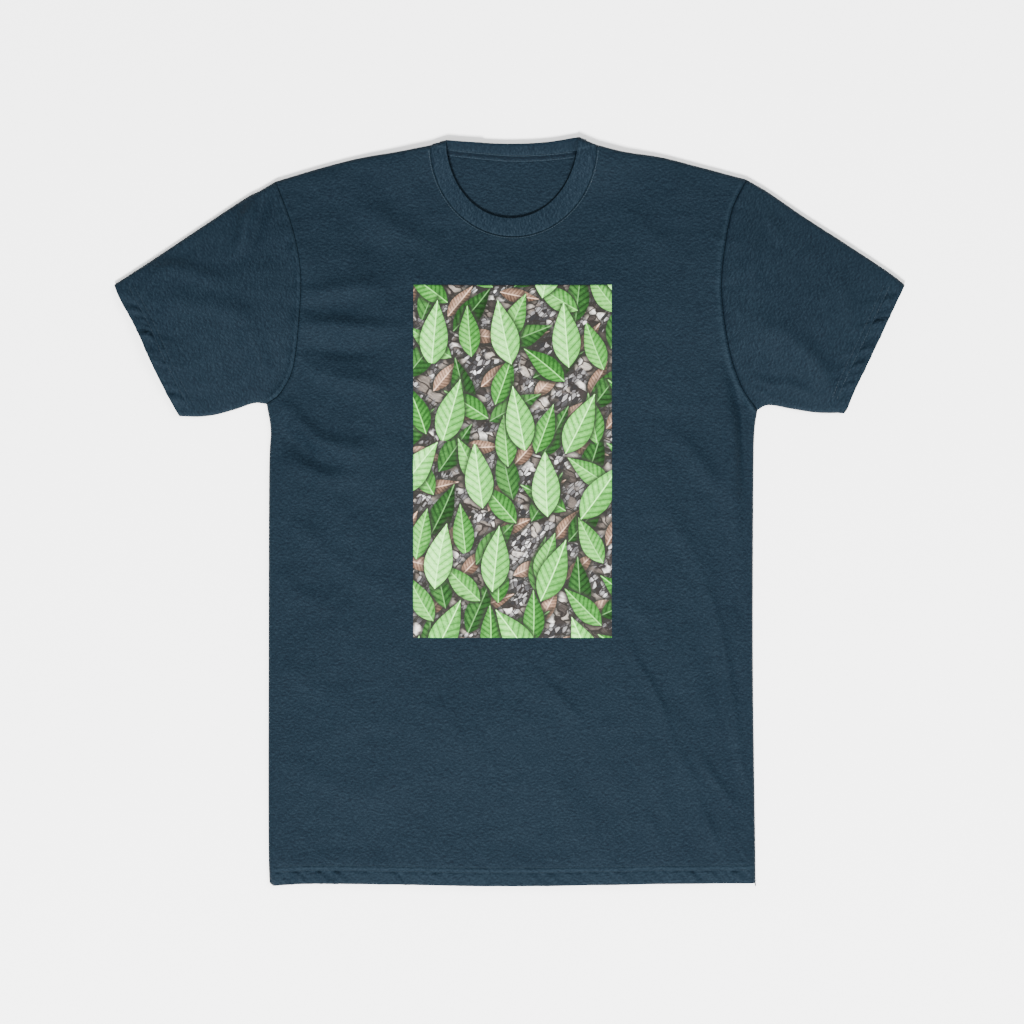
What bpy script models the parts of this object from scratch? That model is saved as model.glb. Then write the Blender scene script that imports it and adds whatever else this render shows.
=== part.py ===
"""A short-sleeved crew-neck T-shirt, medium size, laid on its back on a flat surface.

The frame is in metres: +Z comes out of the chest, +Y runs from the hem to the neck and +X to the sleeve of
the wearer's left arm. The origin is on the surface, under the middle of the shirt.

The shirt is one soft envelope with a front sheet and a back sheet. Both are heights over the plan that follow
from the distance to the folded outline, so pieces that are cut from them meet at their seams. The pieces are
the front and back panels, two set-in sleeves, the ribbed neckband, the tape inside the back neck and the
printed panel on the chest. Left and right are the wearer's.
"""

import math

import bmesh
import bpy
import numpy as np
from mathutils.geometry import delaunay_2d_cdt

MM = 0.001

# Cloth and seams.
CLOTH = 0.9 * MM
HEM_WIDTH = 20 * MM
SEAM_GAP = 0.5 * MM
SIDE_GAP = SEAM_GAP + 0.8 * CLOTH

# The soft envelope: the height of its fold line, its rounding there, and the crown between the folds.
FOLD_HEIGHT = 4 * MM
FOLD_RADIUS = 4 * MM
CROWN = 15 * MM
CROWN_REACH = 150 * MM
COLLAR_LIFT = 8 * MM
COLLAR_CENTRE = 3 * MM

# The cloth settles towards its open edges: the share of the crown left there, and how far that reaches.
MOUTHS = {"hem": (0.5, 170 * MM), "cuff": (0.5, 70 * MM), "neck": (0.0, 95 * MM)}
NECK_SAG = 3.5 * MM
NECK_SAG_REACH = 45 * MM

# The outline in plan, in millimetres: each stretch is a smooth curve and ends at a corner.
STRETCHES = {
    "left": {
        "side": [(242, -367), (243, -350), (240.5, -150), (241, 30), (242, 78), (245, 100)],
        "sleeve_under": [(245, 100), (256, 105), (280, 101), (304, 97.5), (327, 97.5), (333, 100)],
        "cuff": [(333, 100), (341, 120), (360, 160), (379, 200), (390.5, 224)],
        "sleeve_top": [(390.5, 224), (375, 236), (339, 260), (291, 291), (256, 315), (234, 328)],
        "shoulder": [(234, 328), (185, 341), (149, 350), (114, 355), (86, 362)],
        "band_fold": [(86, 362), (76, 366), (67.5, 369.5)],
        "armhole": [(234, 328), (219, 296), (210, 246), (209, 210), (216, 161), (229, 123), (245, 100)],
    },
    "right": {
        "side": [(-234, -369.5), (-238, -340), (-238, -100), (-237.5, 41), (-236, 80), (-240, 106)],
        "sleeve_under": [(-240, 106), (-252, 107), (-270, 101), (-290, 95.5), (-307, 93.5), (-326, 94)],
        "cuff": [(-326, 94), (-335, 110), (-350, 140), (-368, 180), (-384, 209), (-390.5, 224)],
        "sleeve_top": [(-390.5, 224), (-355, 247), (-307, 279), (-260, 310), (-248, 316), (-231, 326)],
        "shoulder": [(-231, 326), (-184, 340), (-148, 349), (-112, 355), (-78, 361.5)],
        "band_fold": [(-78, 361.5), (-70, 364), (-62.5, 366.5)],
        "armhole": [
            (-231, 326), (-216, 287), (-207, 250), (-205.5, 210), (-212, 147), (-225, 118), (-240, 106),
        ],
    },
}
HEM_LINE = [(-234, -369.5), (-190, -367), (-110, -367.5), (0, -369), (150, -367), (242, -367)]

# The neckline in front is a half ellipse, for the seam of the band and for its free edge.
SEAM_DEPTH = 90
EDGE_DEPTH = 78
BAND_THICKNESS = 1.8 * MM

# The neckline behind, from the left shoulder to the right one.
BACK_EDGE = [(67.5, 369.5), (35, 364.5), (0, 363), (-35, 364.5), (-62.5, 366.5)]
BACK_SEAM = [(86, 362), (66, 357), (35, 353.5), (4, 352.5), (-30, 355), (-61, 358.5), (-78, 361.5)]

# The tape that covers the seam behind, between its two ends.
TAPE_REACH = (-64, 66)
TAPE_WIDTH = 8 * MM
TAPE_THICKNESS = 0.7 * MM

# The printed panel, and the gap of a piece that rests on another.
PRINT_CENTRE = (3, 49.5)
PRINT_SIZE = (195, 347)
PRINT_THICKNESS = 0.4 * MM
RESTING_GAP = 0.7 * MM

# Mesh density: the grid, the steps along outlines, and the distances of the rings beside a fold.
GRID = 28 * MM
OUTLINE_STEP = 19 * MM
FOLD_RINGS = np.array([1, 4, 12]) * MM
BAND_ROWS = {"front": 30, "back": 18}
BAND_ACROSS = np.array([0, 0.4, 0.7, 0.9, 1])

# Linear colours: dyed jersey, its rib and tape, and the mean of the printing inks.
JERSEY = (0.024, 0.048, 0.072, 1)
RIB = (0.026, 0.051, 0.076, 1)
INK = (0.16, 0.19, 0.10, 1)


def clear_scene():
    for old in list(bpy.data.objects):
        bpy.data.objects.remove(old, do_unlink=True)


def fabric(name, colour, roughness):
    made = bpy.data.materials.new(name)
    made.use_nodes = True
    shader = made.node_tree.nodes["Principled BSDF"]
    shader.inputs["Base Color"].default_value = colour
    shader.inputs["Roughness"].default_value = roughness
    shader.inputs["Metallic"].default_value = 0
    return made


def resample(line, step, crowd_ends=False):
    """Points at most a step apart along a polyline. Crowded ends have the spacing of the fold rings."""
    lengths = np.concatenate([[0], np.cumsum(np.linalg.norm(np.diff(line, axis=0), axis=1))])
    total = lengths[-1]
    wanted = np.linspace(0, total, max(2, math.ceil(total / step) + 1))
    if crowd_ends:
        reach = 1.5 * FOLD_RINGS[-1]
        middle = wanted[(wanted > reach) & (wanted < total - reach)]
        wanted = np.concatenate([[0], FOLD_RINGS, middle, total - FOLD_RINGS[::-1], [total]])
    return np.stack([np.interp(wanted, lengths, line[:, axis]) for axis in (0, 1)], axis=1)


def smooth_curve(corner_points, step, crowd_ends=False):
    """A Catmull-Rom curve through points in millimetres, as points in metres."""
    points = np.array(corner_points, float) * MM
    padded = np.vstack([2 * points[0] - points[1], points, 2 * points[-1] - points[-2]])
    t = np.linspace(0, 1, 24, endpoint=False)[:, None]
    dense = [
        0.5 * (2 * b + (c - a) * t + (2 * a - 5 * b + 4 * c - d) * t**2 + (3 * b - a - 3 * c + d) * t**3)
        for a, b, c, d in zip(padded, padded[1:], padded[2:], padded[3:])
    ]
    return resample(np.vstack([*dense, points[-1:]]), step, crowd_ends)


def shifted(line, distance):
    """The line moved sideways in plan, to its left as it runs."""
    along = np.gradient(line, axis=0)
    along /= np.linalg.norm(along, axis=1)[:, None]
    return line + distance * np.stack([-along[:, 1], along[:, 0]], axis=1)


def distance_to(line, points):
    """The distance in plan from each point to a polyline."""
    start, run = line[:-1], np.diff(line, axis=0)
    offset = points[:, None] - start[None]
    share = np.clip((offset * run).sum(2) / (run**2).sum(1), 0, 1)
    return np.linalg.norm(offset - share[..., None] * run, axis=2).min(1)


def inside(polygon, points):
    """Which points lie in a closed polygon, by the even-odd rule."""
    a, b = polygon, np.roll(polygon, -1, axis=0)
    x, y = points[:, :1], points[:, 1:]
    spans = (a[:, 1] > y) != (b[:, 1] > y)
    rise = np.where(b[:, 1] == a[:, 1], 1, b[:, 1] - a[:, 1])
    crosses = spans & (x < (b[:, 0] - a[:, 0]) * (y - a[:, 1]) / rise + a[:, 0])
    return crosses.sum(1) % 2 == 1


def ease(value, low, high):
    """A smooth step from 0 at low to 1 at high."""
    t = np.clip((value - low) / (high - low), 0, 1)
    return t * t * (3 - 2 * t)


def quarter_round(share):
    """A quarter circle from 0 at the fold to 1 where its rounding ends."""
    return np.sqrt(1 - (1 - np.clip(share, 0, 1)) ** 2)


def front_neckline(depth, right_end, left_end, angles, wider=0.0):
    """Points of a half ellipse that hangs between the two ends, from the right one to the left one."""
    right, left = np.array(right_end) * MM, np.array(left_end) * MM
    across = (left - right) / 2
    across = across * (1 + wider / np.linalg.norm(across))
    down = np.array([0, -(depth * MM + wider)])
    return (left + right) / 2 - np.outer(np.cos(angles), across) + np.outer(np.sin(angles), down)


class Envelope:
    """The folded outline of the shirt, and the heights of its two sheets over the plan."""

    def __init__(self):
        self.curve = {
            (side, name): smooth_curve(points, OUTLINE_STEP, name in ("cuff", "armhole"))
            for side, stretches in STRETCHES.items()
            for name, points in stretches.items()
        }
        self.hem = smooth_curve(HEM_LINE, OUTLINE_STEP, crowd_ends=True)
        self.back_edge = smooth_curve(BACK_EDGE, OUTLINE_STEP / 2)
        top = [self.curve["left", name] for name in ("sleeve_top", "shoulder", "band_fold")]
        top += [self.back_edge]
        top += [self.curve["right", name][::-1] for name in ("band_fold", "shoulder", "sleeve_top")]
        self.folds = [
            np.vstack([self.curve["left", "side"], self.curve["left", "sleeve_under"][1:]]),
            np.vstack([self.curve["right", "side"], self.curve["right", "sleeve_under"][1:]]),
            np.vstack([top[0], *[stretch[1:] for stretch in top[1:]]]),
        ]
        half_turn = np.linspace(0, np.pi, 24)
        self.mouths = [
            ("hem", self.hem),
            ("cuff", self.curve["left", "cuff"]),
            ("cuff", self.curve["right", "cuff"]),
            ("neck", front_neckline(EDGE_DEPTH, *self.band_ends(-1), half_turn)),
        ]

    def band_ends(self, which):
        """The ends of the front neckline on the shoulder folds: of the seam (0) or of the free edge (-1)."""
        return [STRETCHES[side]["band_fold"][which] for side in ("right", "left")]

    def fold_distance(self, points):
        """The distance to the folds, blended where two are near. Points beside a fold count as on it."""
        near = np.stack([distance_to(line, points) for line in self.folds])
        blended = (np.maximum(near, SEAM_GAP) ** -3).sum(0) ** (-1 / 3)
        return np.where(near.min(0) <= 1.1 * SEAM_GAP, 0, blended)

    def collar(self, points):
        """How much of the standing collar's lift reaches a place, from 0 to 1."""
        beside = 1 - ease(np.abs(points[:, 0] - COLLAR_CENTRE), 85 * MM, 165 * MM)
        return beside * ease(points[:, 1], 300 * MM, 352 * MM)

    def fold_height(self, points):
        return FOLD_HEIGHT + COLLAR_LIFT * self.collar(points)

    def crown_share(self, points):
        share = np.ones(len(points))
        for name, line in self.mouths:
            left, reach = MOUTHS[name]
            share *= left + (1 - left) * ease(distance_to(line, points), 0, reach)
        return share

    def front(self, points):
        distance = self.fold_distance(points)
        rounding = FOLD_RADIUS * quarter_round(distance / FOLD_RADIUS)
        crown = CROWN * np.sin(np.pi / 2 * np.minimum(distance / CROWN_REACH, 1))
        neck = dict(self.mouths)["neck"]
        near_neck = np.exp(-((distance_to(neck, points) / NECK_SAG_REACH) ** 2))
        sag = NECK_SAG * near_neck * ease(distance, 8 * MM, 45 * MM)
        return self.fold_height(points) + rounding + crown * self.crown_share(points) - sag

    def back(self, points):
        fold = self.fold_height(points)
        return fold * (1 - quarter_round(self.fold_distance(points) / fold))


def plan_mesh(envelope, polygon, step, hem=None):
    """Fills a polygon with triangles: its own points, rings beside the folds, rows at the hem and a grid."""
    outline = np.vstack([polygon, polygon[:1]])
    clear = 0.4 * step
    found = [polygon]
    for ring in FOLD_RINGS:
        beside = np.vstack([shifted(line, side * ring) for line in envelope.folds for side in (-1, 1)])
        beside = beside[inside(polygon, beside)]
        on_ring = np.abs(envelope.fold_distance(beside) - ring) < 0.15 * ring
        found.append(beside[on_ring & (distance_to(outline, beside) > 0.8 * ring)])
    hem_rows = []
    if hem is not None:
        hem_rows = [shifted(hem, side * (HEM_WIDTH + more)) for side in (-1, 1) for more in (0, CLOTH)]
        rows = np.vstack(hem_rows)
        rows = rows[inside(polygon, rows)]
        apart = 0.9 * HEM_WIDTH
        found.append(rows[(distance_to(outline, rows) > apart) & (envelope.fold_distance(rows) > apart)])
    low, high = np.floor(polygon.min(0) / step), np.ceil(polygon.max(0) / step)
    grid = np.stack(np.meshgrid(*[np.arange(a, b + 1) * step for a, b in zip(low, high)]), axis=2)
    grid = grid.reshape(-1, 2)
    grid = grid[inside(polygon, grid)]
    off_fold = envelope.fold_distance(grid) > FOLD_RINGS[-1] + clear
    grid = grid[off_fold & (distance_to(outline, grid) > clear)]
    for row in hem_rows:
        grid = grid[distance_to(row, grid) > clear]
    points = np.vstack([*found, grid])
    edges = [(i, (i + 1) % len(polygon)) for i in range(len(polygon))]
    made = delaunay_2d_cdt([tuple(p) for p in points], edges, [], 1, 1e-7)
    return np.array([tuple(p) for p in made[0]]), made[2]


def add_sheet(bm, plan, faces, heights, facing_up):
    verts = [bm.verts.new((*point, height)) for point, height in zip(plan, heights)]
    for face in faces:
        corners = [verts[i] for i in face]
        bm.faces.new(corners if facing_up else corners[::-1])


def new_object(name, bm, material, collection):
    mesh = bpy.data.meshes.new(name)
    bm.to_mesh(mesh)
    bm.free()
    mesh.materials.append(material)
    mesh.shade_smooth()
    made = bpy.data.objects.new(name, mesh)
    collection.objects.link(made)
    return made


def give_thickness(made, thickness, outward=False):
    shell = made.modifiers.new("thickness", "SOLIDIFY")
    shell.thickness = thickness
    shell.offset = 1 if outward else -1
    shell.use_quality_normals = True
    return shell


def double_the_hem(made, envelope, hem):
    """The turned hem is two layers of cloth, except on the fold: its points get the full thickness."""
    group = made.vertex_groups.new(name="hem")
    plan = np.array([vertex.co[:2] for vertex in made.data.vertices])
    in_hem = distance_to(hem, plan) < HEM_WIDTH + CLOTH / 2
    turned = np.flatnonzero(in_hem & (envelope.fold_distance(plan) > 0))
    group.add(turned.tolist(), 1, "REPLACE")
    shell = give_thickness(made, 2 * CLOTH)
    shell.vertex_group = group.name
    shell.thickness_vertex_group = 0.5


def body_panel(name, envelope, neckline, front, material, collection):
    """The front or the back panel. The two meet along the side and shoulder folds."""
    curve = envelope.curve
    polygon = np.vstack(
        [
            envelope.hem,
            curve["left", "side"][1:-1],
            shifted(curve["left", "armhole"], -SEAM_GAP / 2)[::-1],
            curve["left", "shoulder"][1:-1],
            neckline,
            curve["right", "shoulder"][::-1][1:-1],
            shifted(curve["right", "armhole"], SEAM_GAP / 2),
            curve["right", "side"][::-1][1:-1],
        ]
    )
    plan, faces = plan_mesh(envelope, polygon, GRID, envelope.hem)
    seam = envelope.fold_height(plan)
    if front:
        heights = np.maximum(envelope.front(plan), seam + SIDE_GAP / 2)
    else:
        heights = np.minimum(envelope.back(plan), seam - SIDE_GAP / 2)
    bm = bmesh.new()
    add_sheet(bm, plan, faces, heights, facing_up=front)
    made = new_object(name, bm, material, collection)
    double_the_hem(made, envelope, envelope.hem)


def front_panel(envelope, material, collection):
    half_turn = np.linspace(np.pi, 0, 60)
    seam = front_neckline(SEAM_DEPTH, *envelope.band_ends(0), half_turn, wider=SEAM_GAP)
    neckline = resample(seam, 0.6 * OUTLINE_STEP, crowd_ends=True)
    body_panel("front_panel", envelope, neckline, True, material, collection)


def back_panel(envelope, material, collection):
    seam = smooth_curve(BACK_SEAM, 0.6 * OUTLINE_STEP, crowd_ends=True)
    neckline = shifted(seam, SEAM_GAP)
    toward = envelope.curve["left", "shoulder"], envelope.curve["right", "shoulder"]
    for end, shoulder in zip((0, -1), toward):
        back_along = shoulder[-2] - shoulder[-1]
        neckline[end] = seam[end] + SEAM_GAP * back_along / np.linalg.norm(back_along)
    body_panel("back_panel", envelope, neckline, False, material, collection)


def sleeve(side, envelope, material, collection):
    """A set-in sleeve: two sheets that are one along the top fold and the underarm, open at both ends."""
    curve = envelope.curve
    away_from_body = SEAM_GAP / 2 if side == "left" else -SEAM_GAP / 2
    polygon = np.vstack(
        [
            shifted(curve[side, "armhole"], away_from_body),
            curve[side, "sleeve_under"][1:],
            curve[side, "cuff"][1:],
            curve[side, "sleeve_top"][1:-1],
        ]
    )
    polygon = polygon if side == "left" else polygon[::-1]
    plan, faces = plan_mesh(envelope, polygon, 0.8 * GRID, curve[side, "cuff"])
    bm = bmesh.new()
    add_sheet(bm, plan, faces, envelope.front(plan), facing_up=True)
    add_sheet(bm, plan, faces, envelope.back(plan), facing_up=False)
    bmesh.ops.remove_doubles(bm, verts=bm.verts, dist=0.01 * MM)
    made = new_object(f"sleeve_{side}", bm, material, collection)
    double_the_hem(made, envelope, curve[side, "cuff"])


def crowded_shares(count):
    """Shares from 0 to 1 that lie closer together at both ends."""
    return 0.5 - 0.5 * np.cos(np.linspace(0, np.pi, count))


def neckband(envelope, material, collection):
    """The folded rib as one ring: across the front sheet, over each shoulder fold and along the back."""
    angles = np.pi * crowded_shares(BAND_ROWS["front"])
    seam = front_neckline(SEAM_DEPTH, *envelope.band_ends(0), angles)
    edge = front_neckline(EDGE_DEPTH, *envelope.band_ends(-1), angles)
    rows = [(a, b, envelope.front) for a, b in zip(seam, edge)]
    back_seam, back_edge = smooth_curve(BACK_SEAM, 1 * MM), smooth_curve(BACK_EDGE, 1 * MM)
    for share in crowded_shares(BAND_ROWS["back"])[1:-1]:
        a, b = (line[round(share * (len(line) - 1))] for line in (back_seam, back_edge))
        rows.append((a, b, envelope.back))
    bm = bmesh.new()
    made_rows = []
    for a, b, height in rows:
        plan = a + BAND_ACROSS[:, None] * (b - a)
        made_rows.append([bm.verts.new((*point, z)) for point, z in zip(plan, height(plan))])
    for row, following in zip(made_rows, made_rows[1:] + made_rows[:1]):
        for i in range(len(BAND_ACROSS) - 1):
            bm.faces.new((row[i], following[i], following[i + 1], row[i + 1]))
    give_thickness(new_object("neckband", bm, material, collection), BAND_THICKNESS)


def strip(name, plan, faces, heights, thickness, material, collection):
    bm = bmesh.new()
    add_sheet(bm, plan, faces, heights, facing_up=True)
    give_thickness(new_object(name, bm, material, collection), thickness, outward=True)


def neck_tape(envelope, material, collection):
    """The tape lies on the inside of the back panel, just below the seam of the band."""
    seam = smooth_curve(BACK_SEAM, OUTLINE_STEP / 2)
    ends = [end * MM for end in TAPE_REACH]
    seam = seam[(seam[:, 0] > ends[0]) & (seam[:, 0] < ends[1])]
    lines = [shifted(seam, 2 * SEAM_GAP + share * TAPE_WIDTH) for share in (0, 0.5, 1)]
    plan = np.vstack(lines)
    n = len(seam)
    faces = [(k + i + n + 1, k + i + n, k + i, k + i + 1) for k in (0, n) for i in range(n - 1)]
    heights = envelope.back(plan) + CLOTH + RESTING_GAP
    strip("neck_tape", plan, faces, heights, TAPE_THICKNESS, material, collection)


def chest_print(envelope, material, collection):
    """The printed panel follows the front sheet."""
    centre, size = np.array(PRINT_CENTRE) * MM, np.array(PRINT_SIZE) * MM
    axes = [np.linspace(c - s / 2, c + s / 2, round(s / GRID) + 1) for c, s in zip(centre, size)]
    plan = np.stack(np.meshgrid(*axes), axis=2).reshape(-1, 2)
    n = len(axes[0])
    cells = [row * n + column for row in range(len(axes[1]) - 1) for column in range(n - 1)]
    faces = [(k, k + 1, k + n + 1, k + n) for k in cells]
    heights = envelope.front(plan) + RESTING_GAP
    strip("chest_print", plan, faces, heights, PRINT_THICKNESS, material, collection)


def build():
    clear_scene()
    collection = bpy.data.collections.new("t_shirt")
    bpy.context.scene.collection.children.link(collection)
    envelope = Envelope()
    jersey = fabric("dyed cotton jersey", JERSEY, 0.9)
    rib = fabric("dyed cotton rib", RIB, 0.9)
    front_panel(envelope, jersey, collection)
    back_panel(envelope, jersey, collection)
    for side in ("left", "right"):
        sleeve(side, envelope, jersey, collection)
    neckband(envelope, rib, collection)
    neck_tape(envelope, fabric("dyed cotton tape", RIB, 0.85), collection)
    chest_print(envelope, fabric("water-based ink", INK, 0.8), collection)


build()
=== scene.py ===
"""The looks of a dark blue-green cotton T-shirt that lies on its back, seen from straight above.

Lengths are in metres, but the lists of points in plan, folds and gathers are in millimetres. +X runs to the
wearer's left sleeve, +Y to the neck and +Z out of the chest.
"""

import math
from functools import partial

import bmesh
import bpy
import numpy as np
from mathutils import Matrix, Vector
from mathutils.geometry import delaunay_2d_cdt


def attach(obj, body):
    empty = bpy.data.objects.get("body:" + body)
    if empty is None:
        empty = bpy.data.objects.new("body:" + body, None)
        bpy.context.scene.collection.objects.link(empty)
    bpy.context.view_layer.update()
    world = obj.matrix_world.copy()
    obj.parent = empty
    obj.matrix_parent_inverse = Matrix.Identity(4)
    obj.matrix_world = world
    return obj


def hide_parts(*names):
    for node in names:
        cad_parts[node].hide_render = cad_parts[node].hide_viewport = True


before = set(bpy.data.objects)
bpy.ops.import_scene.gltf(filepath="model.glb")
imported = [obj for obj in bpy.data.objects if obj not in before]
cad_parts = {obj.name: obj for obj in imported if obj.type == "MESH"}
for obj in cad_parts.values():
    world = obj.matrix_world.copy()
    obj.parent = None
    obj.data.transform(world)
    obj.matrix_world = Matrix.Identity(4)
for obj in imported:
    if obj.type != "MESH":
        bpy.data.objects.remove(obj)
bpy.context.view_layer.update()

MM = 0.001

# Cloth and seams.
CLOTH = 0.8 * MM
HEM_WIDTH = 20 * MM
HEM_STITCHES = (13.5 * MM, 18.5 * MM)
SEAM_GAP = 0.1 * MM
BAND_THICKNESS = 1.7 * MM

# The soft envelope of the solids that the cloth lies on.
FOLD_HEIGHT = 4 * MM
FOLD_RADIUS = 4 * MM
CROWN = 15 * MM
CROWN_REACH = 150 * MM
COLLAR_LIFT = 3 * MM
COLLAR_ROLL = 12 * MM
COLLAR_CENTRE = 3 * MM

# The cloth settles towards its open edges: the share of the crown left there, and how far that reaches.
MOUTHS = {"hem": (0.5, 170 * MM), "cuff": (0.5, 70 * MM), "neck": (0.0, 165 * MM)}
NECK_SAG = 3.5 * MM
NECK_SAG_REACH = 58 * MM

# The outline in plan, in millimetres: each stretch is a smooth curve and ends at a corner.
STRETCHES = {
    "left": {
        "side": [(242, -367), (243, -350), (240.5, -150), (241, 30), (242, 78), (245, 100)],
        "sleeve_under": [(245, 100), (256, 105), (280, 101), (304, 97.5), (327, 97.5), (333, 100)],
        "cuff": [(333, 100), (341, 120), (360, 160), (379, 200), (390.5, 224)],
        "sleeve_top": [(390.5, 224), (375, 236), (339, 260), (291, 291), (256, 315), (234, 328)],
        "shoulder": [(234, 328), (185, 341), (149, 350), (114, 355), (86, 362)],
        "band_fold": [(86, 362), (76, 366), (67.5, 369.5)],
        "armhole": [(234, 328), (219, 296), (210, 246), (209, 210), (216, 161), (229, 123), (245, 100)],
    },
    "right": {
        "side": [(-234, -369.5), (-238, -340), (-238, -100), (-237.5, 41), (-236, 80), (-240, 106)],
        "sleeve_under": [(-240, 106), (-252, 107), (-270, 101), (-290, 95.5), (-307, 93.5), (-326, 94)],
        "cuff": [(-326, 94), (-335, 110), (-350, 140), (-368, 180), (-384, 209), (-390.5, 224)],
        "sleeve_top": [(-390.5, 224), (-355, 247), (-307, 279), (-260, 310), (-248, 316), (-231, 326)],
        "shoulder": [(-231, 326), (-184, 340), (-148, 349), (-112, 355), (-78, 361.5)],
        "band_fold": [(-78, 361.5), (-70, 364), (-62.5, 366.5)],
        "armhole": [
            (-231, 326), (-216, 287), (-207, 250), (-205.5, 210), (-212, 147), (-225, 118), (-240, 106),
        ],
    },
}
HEM_LINE = [(-234, -369.5), (-190, -367), (-110, -367.5), (0, -369), (150, -367), (242, -367)]
SEAM_DEPTH = 90
EDGE_DEPTH = 78
BACK_EDGE = [(67.5, 369.5), (35, 364.5), (0, 363), (-35, 364.5), (-62.5, 366.5)]
BACK_SEAM = [(86, 362), (66, 357), (35, 353.5), (4, 352.5), (-30, 355), (-61, 358.5), (-78, 361.5)]
TAPE_REACH = (-64, 66)
TAPE_START = 0.2 * MM
TAPE_WIDTH = 7 * MM
TAPE_THICKNESS = 0.5 * MM
PRINT_CENTRE = (3, 49.5)
PRINT_SIZE = (195, 347)
PRINT_LIFT = 0.12 * MM
PRINT_THICKNESS = 0.08 * MM

# Where the hems pucker most: the place along the hem, the reach, and how much more.
HEM_GATHERS = [(45, 38, 1.9), (160, 30, 0.5), (330, 45, 0.4), (462, 16, 1.5)]
CUFF_GATHERS = [(32, 20, 1.5), (88, 30, 1.7)]

# Folds in the front sheet, in millimetres: the crest in plan, its half width and its height.
FOLD_GAIN = 2.0
FOLDS = [
    ([(-212, 214), (-185, 216), (-150, 221), (-118, 222)], 9, 2.0),
    ([(-210, 186), (-185, 184), (-150, 181), (-112, 179)], 9, 3.0),
    ([(-208, 160), (-198, 163), (-160, 157), (-125, 158)], 8, -2.2),
    ([(-212, 150), (-190, 137), (-160, 129), (-115, 124)], 9, 2.2),
    ([(-236, 112), (-222, 104), (-190, 72), (-160, 62), (-135, 63)], 9, 3.2),
    ([(-236, 88), (-216, 72), (-190, 50), (-158, 44)], 8, -1.8),
    ([(-234, 50), (-205, 44), (-180, 34), (-150, 38)], 10, 1.5),
    ([(-232, 5), (-195, -28), (-150, -62), (-110, -80)], 11, 1.2),
    ([(-232, -62), (-200, -84), (-170, -98)], 9, 0.9),
    ([(-230, -150), (-195, -172), (-165, -186)], 10, 0.7),
    ([(-225, -240), (-185, -262), (-140, -280)], 11, 0.6),
    ([(216, 150), (224, 118), (231, 90), (232, 48), (233, 20)], 7, -2.6),
    ([(206, 140), (213, 108), (219, 70), (220, 20), (224, -40)], 9, 2.6),
    ([(150, 82), (172, 66), (196, 36), (214, 8)], 10, 1.8),
    ([(135, 20), (168, -20), (196, -70), (214, -120)], 9, 1.1),
    ([(112, -116), (124, -146), (137, -168), (149, -192), (158, -224)], 4.5, 1.3),
    ([(186, -62), (201, -97), (213, -148), (221, -205), (228, -245), (235, -266)], 4.5, 1.7),
    ([(144, -205), (170, -245), (198, -290)], 6, 0.5),
    ([(20, -152), (45, -178), (72, -208)], 5, 1.1),
    ([(-78, -296), (-75, -345)], 6, 0.7),
    ([(-29, -310), (-26, -345)], 5, 0.6),
    ([(36, -290), (38, -345)], 6, 0.7),
    ([(82, -286), (88, -345)], 5, 0.8),
    ([(98, -280), (104, -345)], 5, 0.7),
    ([(186, -238), (202, -264), (222, -292)], 4.5, 1.4),
    ([(184, -280), (194, -306), (206, -334)], 4.5, 1.4),
    ([(138, -300), (152, -344)], 5, 0.8),
    ([(-150, 300), (-120, 285), (-92, 268), (-72, 250)], 12, 1.6),
    ([(-160, 268), (-130, 258), (-100, 240)], 12, -1.0),
    ([(110, 300), (140, 270), (168, 250)], 14, 1.2),
    ([(-254, 326), (-258, 300), (-262, 276), (-270, 255)], 7, 2.4),
    ([(-242, 318), (-244, 296), (-250, 268)], 6, -1.5),
    ([(-360, 246), (-330, 240), (-300, 232), (-268, 222)], 9, 2.0),
    ([(-350, 205), (-318, 206), (-280, 198), (-240, 178)], 11, 1.3),
    ([(-262, 186), (-248, 160), (-240, 130)], 9, 1.5),
    ([(244, 186), (272, 172), (300, 146), (324, 108)], 12, 3.0),
    ([(236, 296), (239, 250), (236, 205)], 10, 1.8),
    ([(248, 308), (256, 290), (270, 262)], 4, 1.0),
    ([(318, 240), (332, 206), (346, 172)], 11, 0.9),
    ([(240, 134), (252, 127), (270, 124)], 4, 1.2),
    ([(242, 124), (252, 115), (264, 111)], 4, 1.2),
    ([(268, 128), (284, 122), (302, 112)], 5, 1.0),
]


def ease(value, low, high):
    """A smooth step from 0 at low to 1 at high."""
    t = np.clip((value - low) / (high - low), 0, 1)
    return t * t * (3 - 2 * t)


def quarter_round(share):
    """A quarter circle from 0 at the fold to 1 where its rounding ends."""
    return np.sqrt(1 - (1 - np.clip(share, 0, 1)) ** 2)


def bump(distance, width):
    return np.exp(-((distance / width) ** 2))


def lengths_along(line):
    return np.concatenate([[0], np.cumsum(np.linalg.norm(np.diff(line, axis=0), axis=1))])


def places_at(wanted, lengths, line):
    """The places on a line at the wanted lengths along it."""
    return np.stack([np.interp(wanted, lengths, line[:, axis]) for axis in range(line.shape[1])], axis=-1)


def resample(line, step, crowded=()):
    """Points at most a step apart along a polyline, with closer ones at the given distances from its ends."""
    lengths = lengths_along(line)
    total = lengths[-1]
    wanted = np.linspace(0, total, max(2, math.ceil(total / step) + 1))
    if len(crowded):
        crowded = np.array(crowded)
        middle = wanted[(wanted > crowded[-1] + 0.6 * step) & (wanted < total - crowded[-1] - 0.6 * step)]
        wanted = np.concatenate([[0], crowded, middle, total - crowded[::-1], [total]])
    return places_at(wanted, lengths, line)


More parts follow.
